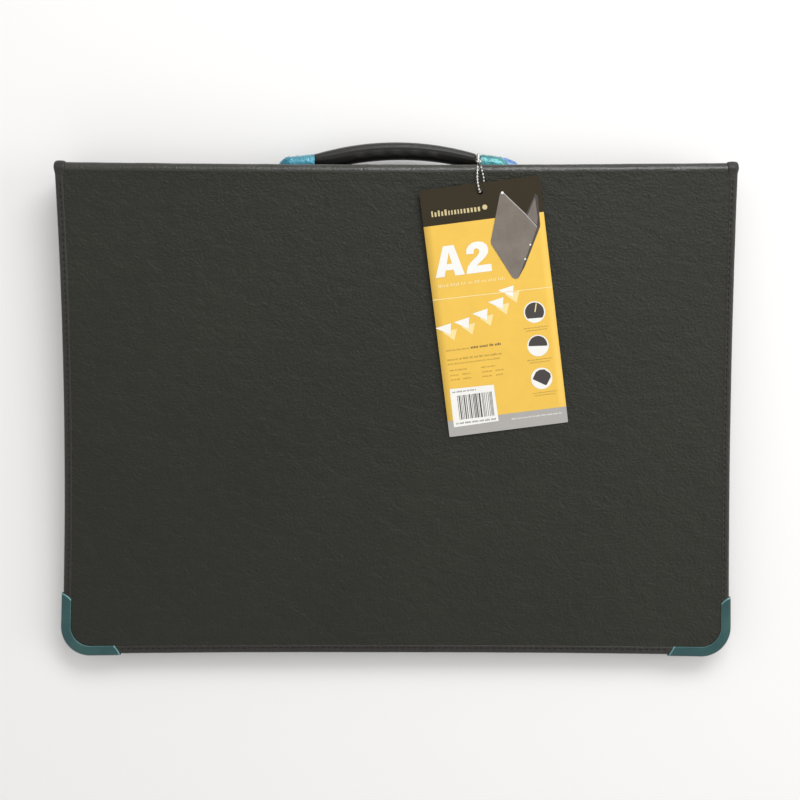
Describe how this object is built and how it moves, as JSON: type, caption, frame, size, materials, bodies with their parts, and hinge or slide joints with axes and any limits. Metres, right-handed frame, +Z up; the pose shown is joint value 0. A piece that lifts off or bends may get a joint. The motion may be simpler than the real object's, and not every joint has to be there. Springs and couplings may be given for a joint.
{
  "type": "portfolio case",
  "caption": "Wedge-shaped A2 zip portfolio case with board covers, bound edges, metal corners, spine handle, ring mechanism and swing tag.",
  "frame": {"origin": "on the back cover's outer face, level with the surface that the case rests on, midway between the free edge and the spine's outer face", "axes": "+X along the spine, +Y from the free edge towards the spine and handle, +Z up out of the front cover"},
  "size_m": [0.6572, 0.5006, 0.0578],
  "materials": {
    "board": "matte",
    "leatherette": "fine grain, satin",
    "binding": "satin",
    "lining_cloth": "matte",
    "filmed_metal": "protective film",
    "filmed_cap_metal": "glossy protective film",
    "gusset_cloth": "matte",
    "zip_nylon": "matte",
    "grip_plastic": "satin",
    "strap_plastic": "matte",
    "chain_metal": "bright",
    "tag_card": "coated print",
    "zip_metal": "satin",
    "plated_steel": "nickel plated"
  },
  "bodies": {
    "back_cover": {"back_board": "board", "back_corner_protectors": "filmed_metal", "back_edge_binding": "binding", "back_gusset_wall": "gusset_cloth", "back_lining": "lining_cloth", "back_skin": "leatherette", "back_zip_coil": "zip_nylon"},
    "front_cover": {"front_board": "board", "front_corner_protectors": "filmed_metal", "front_edge_binding": "binding", "front_gusset_wall": "gusset_cloth", "front_lining": "lining_cloth", "front_skin": "leatherette", "front_zip_coil": "zip_nylon", "inner_pocket": "lining_cloth", "pocket_hem": "binding", "swing_tag": "tag_card", "chain_drop": "chain_metal"},
    "spine": {"back_fold_roll": "leatherette", "front_fold_roll": "leatherette", "spine_board": "board", "spine_end_binding_left": "binding", "spine_end_binding_right": "binding", "spine_lining": "lining_cloth", "spine_skin": "leatherette", "handle_cap_left": "filmed_cap_metal", "handle_cap_right": "filmed_cap_metal", "handle_base_plate_left": "plated_steel", "handle_base_plate_right": "plated_steel", "handle_screws": "plated_steel", "handle_nuts": "plated_steel", "ring_rail": "plated_steel", "rail_rivets": "plated_steel", "lever_pins": "plated_steel"},
    "handle": {"handle_grip": "grip_plastic", "handle_core": "strap_plastic", "handle_strap_left": "strap_plastic", "handle_strap_right": "strap_plastic", "chain_loop": "chain_metal", "chain_connector": "chain_metal"},
    "ring_half_front": {"ring_blade_front": "plated_steel", "ring_halves_front": "plated_steel"},
    "ring_half_back": {"ring_blade_back": "plated_steel", "ring_halves_back": "plated_steel"},
    "ring_trigger_left": {"ring_lever_left": "plated_steel"},
    "ring_trigger_right": {"ring_lever_right": "plated_steel"},
    "zip_runner_left": {"zip_slider_left": "zip_metal"},
    "zip_runner_right": {"zip_slider_right": "zip_metal"},
    "zip_tab_left": {"zip_pull_left": "zip_metal"},
    "zip_tab_right": {"zip_pull_right": "zip_metal"}
  },
  "joints": [
    {"name": "spine_fold", "type": "hinge", "parent": "back_cover", "child": "spine", "pos_m": [0, 0.234, 0.003], "axis": [-1, 0, 0], "range_deg": [0, 90]},
    {"name": "front_fold", "type": "hinge", "parent": "spine", "child": "front_cover", "pos_m": [0, 0.234, 0.047], "axis": [-1, 0, 0], "range_deg": [0, 93]},
    {"name": "handle_lift", "type": "slide", "parent": "spine", "child": "handle", "axis": [0, 1, 0], "range_m": [0, 0.005], "deforming": ["handle_strap_left", "handle_strap_right"]},
    {"name": "ring_opening", "type": "hinge", "parent": "spine", "child": "ring_half_front", "pos_m": [0, 0.2305, 0.0345], "axis": [-1, 0, 0], "range_deg": [0, 16]},
    {"name": "ring_opening_back", "type": "hinge", "parent": "spine", "child": "ring_half_back", "pos_m": [0, 0.2305, 0.0155], "axis": [-1, 0, 0], "range_deg": [-16, 0]},
    {"name": "ring_lever_left_turn", "type": "hinge", "parent": "spine", "child": "ring_trigger_left", "pos_m": [-0.2985, 0.2295, 0.025], "axis": [0, 0, -1], "range_deg": [0, 50]},
    {"name": "ring_lever_right_turn", "type": "hinge", "parent": "spine", "child": "ring_trigger_right", "pos_m": [0.2985, 0.2295, 0.025], "axis": [0, 0, 1], "range_deg": [0, 50]},
    {"name": "zip_left_slide", "type": "slide", "parent": "back_cover", "child": "zip_runner_left", "axis": [-1, 0, 0], "range_m": [0, 0.25]},
    {"name": "zip_right_slide", "type": "slide", "parent": "back_cover", "child": "zip_runner_right", "axis": [1, 0, 0], "range_m": [0, 0.25]},
    {"name": "zip_pull_left_turn", "type": "hinge", "parent": "zip_runner_left", "child": "zip_tab_left", "pos_m": [-0.007, -0.2348, 0.0111], "axis": [0, 0, 1], "range_deg": [0, 90]},
    {"name": "zip_pull_right_turn", "type": "hinge", "parent": "zip_runner_right", "child": "zip_tab_right", "pos_m": [0.007, -0.2348, 0.0111], "axis": [0, 0, -1], "range_deg": [0, 90]}
  ],
  "couplings": [
    {"joint": "ring_opening_back", "follows": "ring_opening", "ratio": -1},
    {"joint": "ring_lever_left_turn", "follows": "ring_opening", "ratio": 3.125},
    {"joint": "ring_lever_right_turn", "follows": "ring_opening", "ratio": 3.125}
  ]
}
